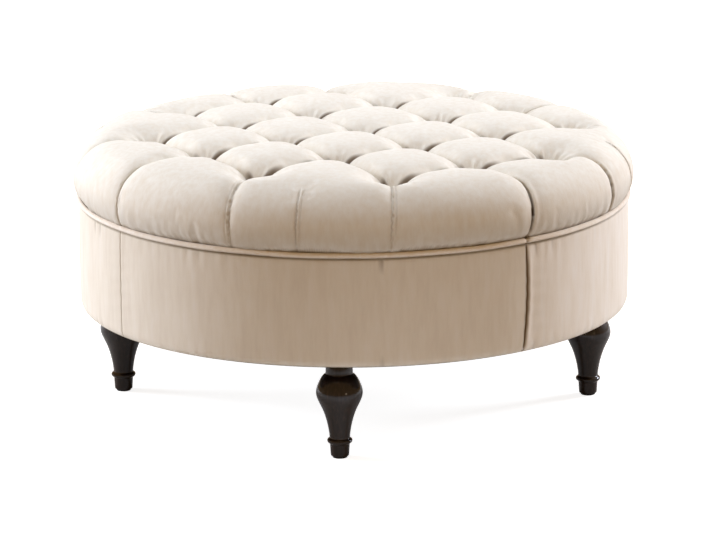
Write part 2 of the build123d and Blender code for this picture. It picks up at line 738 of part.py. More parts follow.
leg_names = ["right", "back", "left", "front"]
leg_places = PolarLocations(leg_circle_radius, leg_count)
flare_points = [leg_point(up, out * leg_belly_radius) for up, out in flare_shares]
shoulder_points = [leg_point(up, out * leg_belly_radius) for up, out in shoulder_shares]
bead_root_radius = (leg_foot_radius + leg_bead_radius) / 2
for name, place in zip(leg_names, leg_places.locations):
    centre = place.position
    with BuildPart() as leg:
        with BuildSketch(Plane(origin=centre, x_dir=(1, 0, 0), z_dir=(0, -1, 0))):
            with BuildLine():
                Polyline((0, leg_height + glide_thickness), (0, glide_thickness),
                         (leg_foot_radius - leg_foot_round, glide_thickness),
                         (leg_foot_radius, glide_thickness + leg_foot_round),
                         leg_point(foot_top_share, leg_foot_radius),
                         leg_point(bead_shares[0], bead_root_radius))
                ThreePointArc(leg_point(bead_shares[0], bead_root_radius),
                              leg_point(bead_shares[1], leg_bead_radius),
                              leg_point(bead_shares[2], bead_root_radius))
                Line(leg_point(bead_shares[2], bead_root_radius),
                     leg_point(waist_share, leg_waist_radius))
                Spline(leg_point(waist_share, leg_waist_radius), *flare_points,
                       leg_point(belly_share, leg_belly_radius), *shoulder_points)
                Polyline(shoulder_points[-1], leg_point(neck_share, leg_neck_radius),
                         (leg_neck_radius, leg_height + glide_thickness),
                         (0, leg_height + glide_thickness))
            make_face()
        revolve(axis=Axis(centre, (0, 0, 1)))
        add(hanger_bolts.part, mode=Mode.SUBTRACT)
        add(glide_nails.part, mode=Mode.SUBTRACT)
    leg.part.label = "leg_" + name
    export_step(leg.part, "parts/leg_" + name + ".step")
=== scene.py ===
# Tufted footstool: a round padded drum with a deep tufted cushion, a welt and four turned legs
import bpy
import bmesh
import json
import math
import numpy as np
from mathutils import Matrix, Vector


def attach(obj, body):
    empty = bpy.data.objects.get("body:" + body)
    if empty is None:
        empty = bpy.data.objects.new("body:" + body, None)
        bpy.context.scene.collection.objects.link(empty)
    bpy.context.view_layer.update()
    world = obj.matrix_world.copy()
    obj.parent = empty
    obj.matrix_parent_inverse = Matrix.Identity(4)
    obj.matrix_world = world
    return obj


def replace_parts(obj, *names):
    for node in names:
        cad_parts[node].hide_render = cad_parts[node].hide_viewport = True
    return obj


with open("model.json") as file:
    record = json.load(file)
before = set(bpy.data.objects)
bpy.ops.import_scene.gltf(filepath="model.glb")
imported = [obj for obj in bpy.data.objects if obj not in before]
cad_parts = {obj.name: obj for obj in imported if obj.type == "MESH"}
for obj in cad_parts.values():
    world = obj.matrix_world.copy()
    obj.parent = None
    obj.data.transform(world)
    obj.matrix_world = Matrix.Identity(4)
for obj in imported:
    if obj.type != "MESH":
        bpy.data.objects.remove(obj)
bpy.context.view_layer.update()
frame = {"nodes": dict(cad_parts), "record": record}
scene = bpy.context.scene
scene.view_settings.view_transform = "Standard"
print("frame loaded")


def linear(colour):
    parts = [int(colour[i:i + 2], 16) / 255 for i in (1, 3, 5)]
    return [p / 12.92 if p <= 0.04045 else ((p + 0.055) / 1.055) ** 2.4 for p in parts] + [1]


def addNode(tree, kind, settings=None, links=None):
    # A name that is a socket sets that socket, and any other name sets the node itself
    node = tree.nodes.new(kind)
    for name, value in (settings or {}).items():
        if isinstance(name, int) or name in node.inputs:
            node.inputs[name].default_value = value
        else:
            setattr(node, name, value)
    for name, source in (links or {}).items():
        tree.links.new(source, node.inputs[name])
    return node


def newMaterial(name):
    material = bpy.data.materials.new(name)
    material.use_nodes = True
    material.node_tree.nodes.clear()
    return material, material.node_tree


def finishMaterial(tree, shader):
    addNode(tree, "ShaderNodeOutputMaterial", links={"Surface": shader.outputs[0]})


def setRamp(ramp, stops):
    elements = ramp.color_ramp.elements
    while len(elements) < len(stops):
        elements.new(0.5)
    for element, (place, colour) in zip(elements, stops):
        element.position = place
        element.color = linear(colour)
    return ramp


# In the three finishes below, thread, blotch and grain are sizes in millimetres
def fabric(name, colours, thread, stretch, blotch, sheen, bump, roughness=0.9, tint="#FFFFFF",
           paintedShadeColour=None):
    # Colours run from the nap lying away to the nap lying towards the light
    material, tree = newMaterial(name)
    place = addNode(tree, "ShaderNodeTexCoord").outputs["Object"]
    streak = addNode(tree, "ShaderNodeMapping", {"Scale": stretch}, {"Vector": place})
    nap = addNode(tree, "ShaderNodeTexNoise",
                  {"Scale": 1000 / blotch, "Detail": 4.0, "Roughness": 0.6},
                  {"Vector": streak.outputs[0]})
    ramp = setRamp(addNode(tree, "ShaderNodeValToRGB", links={"Fac": nap.outputs["Fac"]}),
                   list(zip((0.30, 0.50, 0.70), colours)))
    weave = addNode(tree, "ShaderNodeTexNoise", {"Scale": 1000 / thread, "Detail": 2.0},
                    {"Vector": place})
    lift = addNode(tree, "ShaderNodeBump", {"Strength": bump, "Distance": 0.0005},
                   {"Height": weave.outputs["Fac"]})
    shader = addNode(tree, "ShaderNodeBsdfPrincipled",
                     {"Roughness": roughness, "Sheen Weight": sheen, "Sheen Roughness": 0.35,
                      "Sheen Tint": linear(tint), "Specular IOR Level": 0.2},
                     {"Base Color": ramp.outputs[0], "Normal": lift.outputs[0]})
    if paintedShadeColour:
        # Painted shade: a per-point amount mixes the colour towards a darker one where shade falls, in
        # folds, creases, tufts, seams and beside the welt
        paintedShadeNode = addNode(tree, "ShaderNodeAttribute", {"attribute_name": "paintedShade"})
        mix = addNode(tree, "ShaderNodeMix", {"data_type": "RGBA", 7: linear(paintedShadeColour)},
                      {0: paintedShadeNode.outputs["Fac"], 6: ramp.outputs[0]})
        tree.links.new(mix.outputs[2], shader.inputs["Base Color"])
    finishMaterial(tree, shader)
    return material


def wood(name, colours, grain, along, roughness, coat=0.0, bump=0.15):
    material, tree = newMaterial(name)
    place = addNode(tree, "ShaderNodeTexCoord").outputs["Object"]
    runs = addNode(tree, "ShaderNodeMapping", {"Scale": along}, {"Vector": place})
    figure = addNode(tree, "ShaderNodeTexNoise",
                     {"Scale": 1000 / grain, "Detail": 6.0, "Roughness": 0.65, "Distortion": 0.4},
                     {"Vector": runs.outputs[0]})
    ramp = setRamp(addNode(tree, "ShaderNodeValToRGB", links={"Fac": figure.outputs["Fac"]}),
                   list(zip((0.32, 0.52, 0.70), colours)))
    lift = addNode(tree, "ShaderNodeBump", {"Strength": bump, "Distance": 0.0004},
                   {"Height": figure.outputs["Fac"]})
    shader = addNode(tree, "ShaderNodeBsdfPrincipled",
                     {"Roughness": roughness, "Specular IOR Level": 0.15, "Coat Weight": coat,
                      "Coat Roughness": 0.06},
                     {"Base Color": ramp.outputs[0], "Normal": lift.outputs[0]})
    finishMaterial(tree, shader)
    return material


def plainFinish(name, colours, grain, roughness, metallic=0.0, bump=0.1):
    material, tree = newMaterial(name)
    place = addNode(tree, "ShaderNodeTexCoord").outputs["Object"]
    speck = addNode(tree, "ShaderNodeTexNoise", {"Scale": 1000 / grain, "Detail": 3.0},
                    {"Vector": place})
    ramp = setRamp(addNode(tree, "ShaderNodeValToRGB", links={"Fac": speck.outputs["Fac"]}),
                   list(zip((0.3, 0.7), colours)))
    rough = addNode(tree, "ShaderNodeMapRange",
                    {"To Min": roughness - 0.08, "To Max": roughness + 0.08},
                    {"Value": speck.outputs["Fac"]})
    lift = addNode(tree, "ShaderNodeBump", {"Strength": bump, "Distance": 0.0003},
                   {"Height": speck.outputs["Fac"]})
    shader = addNode(tree, "ShaderNodeBsdfPrincipled", {"Metallic": metallic},
                     {"Base Color": ramp.outputs[0], "Roughness": rough.outputs[0],
                      "Normal": lift.outputs[0]})
    finishMaterial(tree, shader)
    return material


def velvet(name, colours, stretch, blotch, sheen, paintedShadeColour):
    # Real velvet's pile is too fine to show, so its grain is drawn 1.6 mm coarse
    return fabric(name, colours, 1.6, stretch, blotch, sheen, 0.35, tint="#FFFAF4", paintedShadeColour=paintedShadeColour)


# Cotton velvet, short cut pile: matte, with soft streaks where the nap turns; the last colour is its
# painted shade
cushionVelvet = velvet("cushionVelvet", ("#E4D9C7", "#E8DFD0", "#ECE5D8"),
                       (1, 1, 0.3), 9.09, 0.06, "#5F4A32")
# The same velvet, its nap brushed down the drum: long upright streaks; the last colour is its painted
# shade
bandVelvet = velvet("bandVelvet", ("#E1D5C4", "#E6DBCA", "#E9DFD1"),
                    (1, 1, 0.16), 13.33, 0.06, "#77603F")
# The same velvet in lighter colours for the right panel: painted light, as if that panel faced the light
# more
rightPaintedLightVelvet = velvet("rightPaintedLightVelvet", ("#EADFCF", "#EFE5D7", "#F2EADF"),
                     (1, 1, 0.16), 13.33, 0.06, "#77603F")
# The same velvet cut on the bias and pulled over the cord, in paler colours: painted light for its sheen
weltPaintedLightVelvet = velvet("weltPaintedLightVelvet", ("#F3E6D5", "#F6EBDC", "#F9F0E5"),
                    (1, 1, 1), 9.09, 0.3, "#77603F")
# Beech, turned, stained espresso and lacquered: nearly black with a brown grain along the leg
espressoBeech = wood("espressoBeech", ("#170E0A", "#20150F", "#2C1D15"), 4,
                     (1, 1, 0.06), 0.5, coat=1.0)
finishes = {
    "ivory_velvet": cushionVelvet,
    # Polyester wadding, carded: white, matte and cloudy
    "polyester_wadding": fabric("polyesterWadding", ("#E6E5E2", "#EFEEEC", "#F7F7F6"), 3,
                                (1, 1, 1), 16.67, 0.2, 0.6),
    # Polyurethane foam, cut from a block: pale yellow with open cells
    "cushion_foam": plainFinish("cushionFoam", ("#E2D49A", "#EFE4B4"), 1.2, 0.92, bump=0.5),
    # Birch plywood, rotary cut: broad figure along X with fine pores
    "birch_plywood": wood("birchPlywood", ("#B9966A", "#CFB084", "#DEC49C"), 10,
                          (0.08, 1, 1), 0.62),
    # Pine, sawn: yellow, matte, with its grain along Z
    "pine": wood("sawnPine", ("#BF9359", "#D7B07A", "#E6C896"), 7, (1, 1, 0.07), 0.66),
    # Hardboard, pressed from wood fibre: brown, speckled and dull
    "hardboard": plainFinish("hardboard", ("#5B4029", "#755437"), 1.6, 0.72, bump=0.3),
    # Card, pressed from waste paper: grey, flecked and dull
    "grey_card": plainFinish("greyCard", ("#8E887C", "#A59F92"), 2, 0.88, bump=0.2),
    # Cotton piping cord, spun and unbleached: off-white and fibrous
    "cotton_cord": fabric("cottonCord", ("#D8D2C2", "#E4DFD1", "#EEEADF"), 1.2,
                          (1, 1, 1), 5, 0.2, 0.5),
    # Nylon twine, twisted and waxed: white with a slight gloss
    "nylon_twine": fabric("nylonTwine", ("#DCDBD5", "#E8E7E2", "#F2F2EE"), 0.8,
                          (1, 1, 0.3), 3.33, 0.3, 0.4, roughness=0.55),
    # Steel, zinc plated: bright grey with a fine speckle
    "zinc_steel": plainFinish("zincSteel", ("#9DA1A6", "#C3C6C9"), 1.5, 0.34, metallic=1.0),
    "espresso_beech": espressoBeech,
    # Nylon, moulded: black, satin, with a faint orange peel
    "black_nylon": plainFinish("blackNylon", ("#0C0C0D", "#161617"), 1.2, 0.42, bump=0.2),
    # Spun-bonded cambric: black and matte, with an uneven web of fibres
    "black_cambric": fabric("blackCambric", ("#141416", "#1D1D20", "#29292D"), 2.2,
                            (1, 1, 1), 6.25, 0.15, 0.8),
}
for row in frame["record"]["subparts"]:
    node = frame["nodes"][row["node"]]
    node.data.materials.clear()
    node.data.materials.append(finishes[row["material_slot"]])
print("materials made")


def makeObject(name, mesh, material):
    piece = bpy.data.objects.new(name, mesh)
    scene.collection.objects.link(piece)
    mesh.materials.clear()
    mesh.materials.append(material)
    mesh.polygons.foreach_set("use_smooth", [True] * len(mesh.polygons))
    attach(piece, "root")
    return piece


def meshFrom(bm, name):
    mesh = bpy.data.meshes.new(name)
    bm.to_mesh(mesh)
    bm.free()
    return mesh


def applied(piece):
    # A new mesh with the piece's modifiers in it
    return bpy.data.meshes.new_from_object(
        piece.evaluated_get(bpy.context.evaluated_depsgraph_get()))


def getPoints(mesh, what="co"):
    points = np.zeros(len(mesh.vertices) * 3)
    mesh.vertices.foreach_get(what, points)
    return points.reshape(-1, 3)


def setPoints(mesh, points):
    mesh.vertices.foreach_set("co", points.ravel())
    mesh.update()


# The painted shade, as an amount on each point that the velvets mix towards their darker colour
def storeShade(mesh, shade):
    mesh.attributes.new("paintedShade", "FLOAT", "POINT").data.foreach_set("value", shade)


def step(low, high, value):
    share = np.clip((value - low) / (high - low), 0, 1)
    return share * share * (3 - 2 * share)


def roll(distance, spread):
    # 1 on the line, falling off as the side of a round puff does
    near = np.clip(1 - distance / spread, 0, 1)
    return 1 - np.sqrt(1 - near * near)


def ridges(place, rows):
    # Soft ridges side by side: where each lies, its height, which is less than 0 for a groove, and
    # its half width
    return sum(height * np.exp(-((place - middle) / width) ** 2) for middle, height, width in rows)


def wave(angle, seed, terms, fewest, most):
    # A sum of waves round a circle, the same at each run
    random = np.random.default_rng(seed)
    total = np.zeros_like(angle)
    for _ in range(terms):
        crests = int(random.integers(fewest, most))
        total += random.uniform(0.4, 1.0) * np.sin(crests * angle + random.uniform(0, 2 * math.pi))
    return total / math.sqrt(terms)


def patches(angle, span, waves):
    # Where ripples round a circle are strong, and where only a quarter of them is left
    return 0.25 + 0.75 * step(*span, wave(angle, *waves))


tuftGrid = {
    "pitch": 0.156,
    "turn": 37.9,  # degrees
    "centre": (0.0127, 0.0057),
    "halfCount": 2,  # rows each side of the middle one; the four corners have no tuft
}
# Every waves entry below is a seed, how many waves, and their fewest and most crests round a circle
cushion = {
    "top": 0.4592,
    "crownDrop": 0.0114,  # from the middle down to the crest of the rim
    "crownBlend": (0.35, 0.65),  # how much of it goes with the reach squared, and to the fourth
    "rimCircle": 0.3982,
    "rimRadius": 0.0676,
    "rimSweep": 119,  # degrees round the rim, from the crest down to the welt
    "rimSqueeze": 0.87,  # how much narrower the flat cloth lies once it is over the rim
    "cells": 30,  # quads along one pitch
    "gridSpare": 0.02,  # grid beyond the edge, before it is trimmed to a disc
    "creaseFiner": 0.25,  # how much the quads crowd towards the creases
    "snap": (0.0032, 0.02),  # how near a pleat vertices slide onto it, and from what share along
    "hollowPower": 5,  # how sharply neighbouring hollows melt into the deepest
    "tuftDepth": 0.0475,
    "tuftFlat": 0.0095,
    "tuftSpread": 0.072,
    "creaseDepth": (0.036, 0.020),  # beside a tuft, and half way between two
    "creaseSpread": 0.066,
    # Beside the tuft, then on the crest and at the welt, each for the faintest pleat and the boldest
    "pleatDepth": (0.028, (0.0038, 0.0125), (0.0008, 0.004)),
    "pleatSpread": (0.042, (0.012, 0.022)),  # as far as the crest, and at the welt
    "roundDepth": 0.006,  # how much deeper the rounder puffs meet on the crest
    "roundSpread": 0.8,  # and how much wider their pleat is there, as a share
    "halfPleat": (0.020, 0.0014, 0.012),  # how far beyond the crest it starts, depth and spread
    "fillSpread": 0.060,  # how far the fill of one puff reaches
    "fillEdge": 0.034,  # how near a crease the fill begins to thin
    "fillEnd": (0.010, 0.040),  # it fades from this far inside the crest to this far above the welt
    "weltRoll": (0.012, 0.0050),  # how far above the welt the cloth starts to turn in, and how far in
    "bottom": 0.3480,  # the height of its closed underside
    "turnIn": (0.985, 0.94),  # the edge under the welt, as shares of its radius
    "fill": 0.8,  # how tight, from 0 to 1
    "cloth": {
        "frames": 16,
        "settings": {  # by the names that Blender gives them
            "quality": 4, "mass": 0.25, "tension_stiffness": 12, "compression_stiffness": 12,
            "shear_stiffness": 4, "bending_stiffness": 0.4, "air_damping": 2, "pin_stiffness": 2,
            "uniform_pressure_force": 5.0,
            "shrink_min": -0.012,  # extra cloth, as a share of its size
        },
        "grips": (1.0, 0.7, 0.55),  # how firmly tufts and welt, pleats, and creases are held
        "gripReach": (0.012, 0.002),  # round a tuft, and beside a pleat or a crease
        "mostMove": 0.009,
        "tuftKeeps": (0.25, 0.014, 0.040),  # share of the move left at a tuft, and where it is whole
        "weltLoses": (0.6, 0.03, 0.02),  # share lost, from this far beyond the crest to above the welt
    },
    # Ridges across a pleat are listed as ridges() takes them, from the pleat to the side that laps it
    "folds": {
        "crease": (0.0025, 0.0085, 0.0017),  # depth half way between tufts and beside one, half width
        "bold": [(0.0, -0.0068, 0.0017), (0.0045, 0.0030, 0.0050)],
        "twin": [(0.0024, 0.0019, 0.0018), (-0.0012, -0.0017, 0.0015), (0.0058, -0.0009, 0.0013)],
        "boldFrom": 0.55,  # pleats bolder than this begin lower down
        "onset": (0.30, 0.40, 0.75),  # lower by, lower still for round puffs, and share lost at the welt
        "roundOnset": 0.30,
        "run": (0.10, 1.6),  # how fast a fold comes up, and how much slower a bold one does
        "weltFade": 0.80,  # share of the way to the welt where it starts to fade
        "lines": 0.0013,  # between the lines of vertices that follow a pleat
        "reach": 0.013,  # how far beside a pleat its fold is worked out finely
        "linesFrom": 0.04,  # the share along it where those lines begin
        "lineFade": (0.006, 0.011),  # how far beside it those lines melt into the grid
        "gather": 0.0020,
        "gatherRing": (0.007, 0.014, 0.020, 0.050),  # from a tuft: starts, full, full until, ends
        "gatherWaves": (40, 5, 7, 20),  # the seed of the first tuft
        "pucker": 0.0012,
        "puckerReach": (0.060, 0.010),  # above the welt, where it starts and is full
        "puckerWaves": (8, 7, 45, 170),
        "patchSpan": (-0.2, 1.3),
        "patchWaves": (7, 5, 3, 22),
    },
    # Painted shade in the creases, pleats and tufts, under the puffs and at the welt, stored on the
    # points
    "shades": {
        "most": 0.9,
        # How far from a tuft a crease is dark, as a share of the pitch, and on which side it is hidden
        "inRow": (0.48, 1),
        "acrossRows": (0.26, -1),
        "width": 0.0026,  # of the dark on the side that a puff presses over
        "widthPerFill": 0.42,
        "leastFill": -0.001,
        "widthAtTuft": 0.0014,
        "widthAway": 0.012,
        "openWidth": 0.0032,  # on the other side
        "soft": (0.30, 0.0085),  # the shade round that line, and its half width
        "softRun": (0.05, 0.40),  # where along a crease it fades, as shares of the pitch
        "bold": [(-0.0004, 1.0, 0.0030)],
        "twin": [(-0.0012, 0.30, 0.0017), (0.0058, 0.20, 0.0014)],
        "onset": (0.40, 0.45, 0.60),  # as in folds
        "tuft": (0.007, 0.017),  # dark out to the first, and clear from the second
        "under": (0.34, 0.051, 0.045),  # how dark, from how far above the welt, and over what length
        "welt": (0.55, 0.014, 0.008),  # how dark, and where above the welt it starts and is full
    },
}
clothTrial, folds, shades = (cushion[group] for group in ("cloth", "folds", "shades"))
# The pleats over the rim, by tuft: where each meets the welt in degrees, how bold it is from 0 to 1,
# on which side the cloth laps over it (1 is anticlockwise), how far it bows that way in metres, and
# how much rounder the puffs beside it are
pleatPlan = {
    (-2, -1): (-111.4, 0.2, -1, 0, 0), (-2, 0): (-141.2, 0.45, 1, -0.006, 0),
    (-2, 1): (-169.2, 0.6, 1, 0, 0.2), (-1, -2): (-79.2, 0.0, 1, 0, 0),
    (0, -2): (-49.2, 1.0, 1, 0.018, 0), (1, -2): (-21.7, 1.0, 1, 0.021, 0),
    (2, -1): (11.9, 0.6, -1, 0.004, 0), (2, 0): (37.3, 0.6, 1, 0, 0.3),
    (2, 1): (63.0, 0.5, 1, 0, 1.0), (1, 2): (99.2, 0.6, -1, 0.008, 1.8),
    (0, 2): (125.3, 0.7, 1, 0, 0.6), (-1, 2): (152.7, 0.5, -1, 0, 0.4),
}
halfPleats = [-97.6, -6.2, 81.3, 171.9]  # degrees, short folds between pleats
# How much fuller than the others each puff is stuffed, in metres, by its place in the tuft grid
fullPuffs = {
    (-2.5, -0.5): 0.0080, (-2.5, 0.5): 0.0060, (-1.5, -1.5): 0.0065, (-1.5, -0.5): 0.0075,
    (-1.5, 0.5): 0.0060, (-1.5, 1.5): 0.0035, (-0.5, -2.5): 0.0055, (-0.5, -1.5): 0.0030,
    (-0.5, -0.5): 0.0030, (-0.5, 0.5): 0.0010, (-0.5, 1.5): 0.0, (-0.5, 2.5): -0.0030,
    (0.5, -2.5): 0.0005, (0.5, -1.5): 0.0020, (0.5, -0.5): 0.0, (0.5, 0.5): -0.0020,
    (0.5, 1.5): 0.0, (0.5, 2.5): -0.0010, (1.5, -1.5): 0.0015, (1.5, -0.5): 0.0010,
    (1.5, 0.5): -0.0010, (1.5, 1.5): -0.0010, (2.5, -0.5): 0.0, (2.5, 0.5): 0.0,
}

# The cushion is worked out flat, as a disc of cloth, and then laid over the crown and the rim
weltSweep = math.radians(cushion["rimSweep"])
flatEdge = cushion["rimCircle"] + cushion["rimRadius"] * weltSweep
gridTurn = math.radians(tuftGrid["turn"])
gridAxes = np.array([[math.cos(gridTurn), math.sin(gridTurn)],
                     [-math.sin(gridTurn), math.cos(gridTurn)]])


def tuftPlace(column, row):
    return np.array(tuftGrid["centre"]) + tuftGrid["pitch"] * (np.array([column, row]) @ gridAxes)


def aroundPlace(reach, degrees):
    turn = math.radians(degrees)
    return reach * np.array([math.cos(turn), math.sin(turn)])


def overCushion(flat, sink):
    # Flat places and depths under the surface to places on the drum
    reach = np.hypot(flat[:, 0], flat[:, 1])
    out = flat / np.maximum(reach, 1e-9)[:, None]
    share = np.clip(reach / cushion["rimCircle"], 0, 1)
    second, fourth = cushion["crownBlend"]
    crown = cushion["top"] - cushion["crownDrop"] * (second * share ** 2 + fourth * share ** 4)
    lean = np.clip((reach - cushion["rimCircle"]) / cushion["rimRadius"], 0, None)
    crest = cushion["top"] - cushion["crownDrop"] - cushion["rimRadius"]
    onRim = lean > 0
    radius = np.where(onRim, cushion["rimCircle"] + cushion["rimRadius"] * np.sin(lean), reach)
    height = np.where(onRim, crest + cushion["rimRadius"] * np.cos(lean), crown)
    radius = radius - sink * np.sin(lean)
    height = height - sink * np.cos(lean)
    return np.column_stack([out * radius[:, None], height])


def acrossRun(start, end):
    run = end - start
    return np.array([-run[1], run[0]]) / np.hypot(*run)


def alongRun(flat, start, end, bow=0):
    # Share along a run, the distance from it, and the side
    run = end - start
    length = np.hypot(*run)
    across = acrossRun(start, end)
    share = np.clip(((flat - start) @ run) / length ** 2, 0, 1)
    gap = flat - (start + share[:, None] * run) - (4 * bow * share * (1 - share))[:, None] * across
    return share, np.hypot(gap[:, 0], gap[:, 1]), gap @ across


count = tuftGrid["halfCount"]
steps = range(-count, count + 1)
tufts = [(c, r) for c in steps for r in steps if not abs(c) == abs(r) == count]
tuftPlaces = [tuftPlace(c, r) for c, r in tufts]
# Start, end, and whether the crease joins two tufts of one row
creases = [(tuftPlace(c, r), tuftPlace(c + dc, r + dr), dr == 0) for c, r in tufts
           for dc, dr in ((1, 0), (0, 1)) if (c + dc, r + dr) in tufts]
# Start, end, boldness, lapping side, bow, and how much rounder the puffs are
pleats = [(tuftPlace(*t), aroundPlace(flatEdge, end), bold, lap, bow, puff)
          for t, (end, bold, lap, bow, puff) in pleatPlan.items()]
halfStart = cushion["rimCircle"] + cushion["halfPleat"][0]
halfRuns = [(aroundPlace(halfStart, a), aroundPlace(flatEdge, a), 0.0, 1, 0, 0)
            for a in halfPleats]


def fillAt(flat):
    total = np.zeros(len(flat))
    weight = np.full(len(flat), 1e-6)
    for place, fill in fullPuffs.items():
        share = np.exp(-(np.hypot(*(flat - tuftPlace(*place)).T) / cushion["fillSpread"]) ** 2)
        total += share * fill
        weight += share
    return total / weight


def fullness(flat):
    # The extra fill of each puff: full over its top, and nothing at its creases and at the welt
    near = np.full(len(flat), 1.0)
    for start, end, _ in creases:
        near = np.minimum(near, alongRun(flat, start, end)[1])
    for start, end, _, _, bow, _ in pleats:
        near = np.minimum(near, alongRun(flat, start, end, bow)[1])
    reach = np.hypot(flat[:, 0], flat[:, 1])
    inside, above = cushion["fillEnd"]
    top = 1 - step(cushion["rimCircle"] - inside, flatEdge - above, reach)
    return fillAt(flat) * (1 - (1 - np.clip(near / cushion["fillEdge"], 0, 1)) ** 3) * top


def puffDepth(flat):
    # How far the cloth is drawn in at each place: several hollows melt into the deepest
    reach = np.hypot(flat[:, 0], flat[:, 1])
    squeeze = np.where(reach > cushion["rimCircle"], cushion["rimSqueeze"], 1.0)
    power = cushion["hollowPower"]
    total = np.zeros(len(flat))
    for place in tuftPlaces:
        gap = np.hypot(*(flat - place).T) - cushion["tuftFlat"]
        total += (cushion["tuftDepth"] * roll(np.maximum(gap, 0), cushion["tuftSpread"])) ** power
    paintedShadeNode, shallow = cushion["creaseDepth"]
    for start, end, _ in creases:
        share, gap, _ = alongRun(flat, start, end)
        depth = shallow + (paintedShadeNode - shallow) * (2 * share - 1) ** 4
        total += (depth * roll(gap, cushion["creaseSpread"])) ** power
    beside, crest, welt = cushion["pleatDepth"]
    wide, narrow = cushion["pleatSpread"]
    for start, end, bold, _, bow, puff in pleats:
        share, gap, _ = alongRun(flat, start, end, bow)
        crestShare = (cushion["rimCircle"] - np.hypot(*start)) / np.hypot(*(end - start))
        onCrest = np.interp(bold, (0, 1), crest) + cushion["roundDepth"] * puff
        depth = np.interp(share, (0, crestShare, 1),
                          (beside, onCrest, np.interp(bold, (0, 1), welt)))
        spread = np.interp(share, (crestShare, 1),
                           (wide * (1 + cushion["roundSpread"] * puff),
                            np.interp(bold, (0, 1), narrow)))
        total += (depth * roll(gap * squeeze, spread)) ** power
    _, halfDepth, halfSpread = cushion["halfPleat"]
    for start, end, *_ in halfRuns:
        share, gap, _ = alongRun(flat, start, end)
        total += (halfDepth * step(0, 0.25, share) * roll(gap * squeeze, halfSpread)) ** power
    start, inward = cushion["weltRoll"]
    edge = np.clip((reach - flatEdge + start) / start, 0, 1)
    return total ** (1 / power) + inward * (1 - np.sqrt(1 - edge * edge)) - fullness(flat)


def snapToRuns(flat):
    # Vertices beside a pleat slide onto it, so that its line isn't stepped
    reach, free = cushion["snap"]
    for start, end, _, _, bow, _ in pleats + halfRuns:
        share, gap, side = alongRun(flat, start, end, bow)
        near = (gap < reach) & (share > free) & (share < 1)
        flat[near] -= side[near, None] * acrossRun(start, end)
    return flat


def makeCushion():
    pitch = tuftGrid["pitch"]
    cells = cushion["cells"]
    ring = math.ceil((flatEdge + cushion["gridSpare"]) / pitch * cells)
    bm = bmesh.new()
    bmesh.ops.create_grid(bm, x_segments=2 * ring, y_segments=2 * ring, size=ring * pitch / cells)
    centre = gridAxes @ np.array(tuftGrid["centre"])
    far = [v for v in bm.verts if math.hypot(v.co.x + centre[0], v.co.y + centre[1]) > flatEdge]
    bmesh.ops.delete(bm, geom=far, context="VERTS")
    loose = [v for v in bm.verts if len(v.link_faces) == 1]
    bmesh.ops.delete(bm, geom=loose, context="VERTS")
    edge = np.array([v.is_boundary for v in bm.verts])
    mesh = meshFrom(bm, "tuftedCushion")
    points = getPoints(mesh)
    # Quads crowd towards the creases, where the cloth turns most
    beat = 2 * math.pi / pitch
    grid = points[:, :2] - cushion["creaseFiner"] / beat * np.sin(beat * points[:, :2])
    flat = grid @ gridAxes + np.array(tuftGrid["centre"])
    reach = np.hypot(flat[:, 0], flat[:, 1])
    flat[edge] *= (flatEdge / reach[edge])[:, None]
    flat = snapToRuns(flat)
    store = mesh.attributes.new("flatPlace", "FLOAT_VECTOR", "POINT")
    store.data.foreach_set("vector", np.column_stack([flat, np.zeros(len(flat))]).ravel())
    setPoints(mesh, overCushion(flat, puffDepth(flat)))
    return mesh, flat, edge


def settleCloth(mesh, flat, edge):
    # Pressure fills the puffs between the buttons, the creases and the welt
    piece = bpy.data.objects.new("clothTrial", mesh)
    scene.collection.objects.link(piece)
    held = piece.vertex_groups.new(name="held")
    nearTuft = np.min([np.hypot(*(flat - place).T) for place in tuftPlaces], axis=0)
    atTuft, onPleat, inCrease = clothTrial["grips"]
    tuftReach, lineReach = clothTrial["gripReach"]
    grip = np.where(edge | (nearTuft < tuftReach), atTuft, 0.0)
    for start, end, _ in creases:
        _, gap, _ = alongRun(flat, start, end)
        grip = np.maximum(grip, np.where(gap < lineReach, inCrease, 0.0))
    for start, end, _, _, bow, _ in pleats + halfRuns:
        share, gap, _ = alongRun(flat, start, end, bow)
        level = (gap < lineReach) & (share > 0) & (share < 1)
        grip = np.maximum(grip, np.where(level, onPleat, 0.0))
    for value in clothTrial["grips"]:
        held.add(np.flatnonzero(grip == value).tolist(), value, "REPLACE")
    before = getPoints(mesh)
    cloth = piece.modifiers.new("Cloth", "CLOTH")
    cloth.settings.vertex_group_mass = "held"
    cloth.settings.use_pressure = True
    for name, value in clothTrial["settings"].items():
        setattr(cloth.settings, name, value)
    cloth.settings.effector_weights.gravity = 0
    cloth.collision_settings.use_collision = False
    cloth.point_cache.frame_start = 1
    cloth.point_cache.frame_end = clothTrial["frames"]
    for number in range(1, clothTrial["frames"] + 1):
        scene.frame_set(number)
    after = getPoints(applied(piece))
    scene.frame_set(1)
    bpy.data.objects.remove(piece)
    move = after - before
    far = np.linalg.norm(move, axis=1)
    print("cloth moved at most", round(float(far.max()), 4), "metres")
    cap = clothTrial["mostMove"] * np.tanh(far / clothTrial["mostMove"]) / np.maximum(far, 1e-9)
    kept, close, clear = clothTrial["tuftKeeps"]
    cap *= kept + (1 - kept) * step(close, clear, nearTuft)
    lost, beyond, above = clothTrial["weltLoses"]
    cap *= 1 - lost * step(cushion["rimCircle"] + beyond, flatEdge - above, np.hypot(*flat.T))
    setPoints(mesh, before + move * cap[:, None])


def foldStrength(share, bold, puff, onset):
    # A fold begins lower down the rim where it is bold or its puffs are round, and fades at the welt
    low, lowRound, lost = onset
    low = low * step(folds["boldFrom"], 1.0, bold)
    quick, slow = folds["run"]
    there = step(folds["roundOnset"] * puff + low, quick + lowRound * puff + slow * low, share)
    return there * (1 - lost * step(folds["weltFade"], 1.0, share))


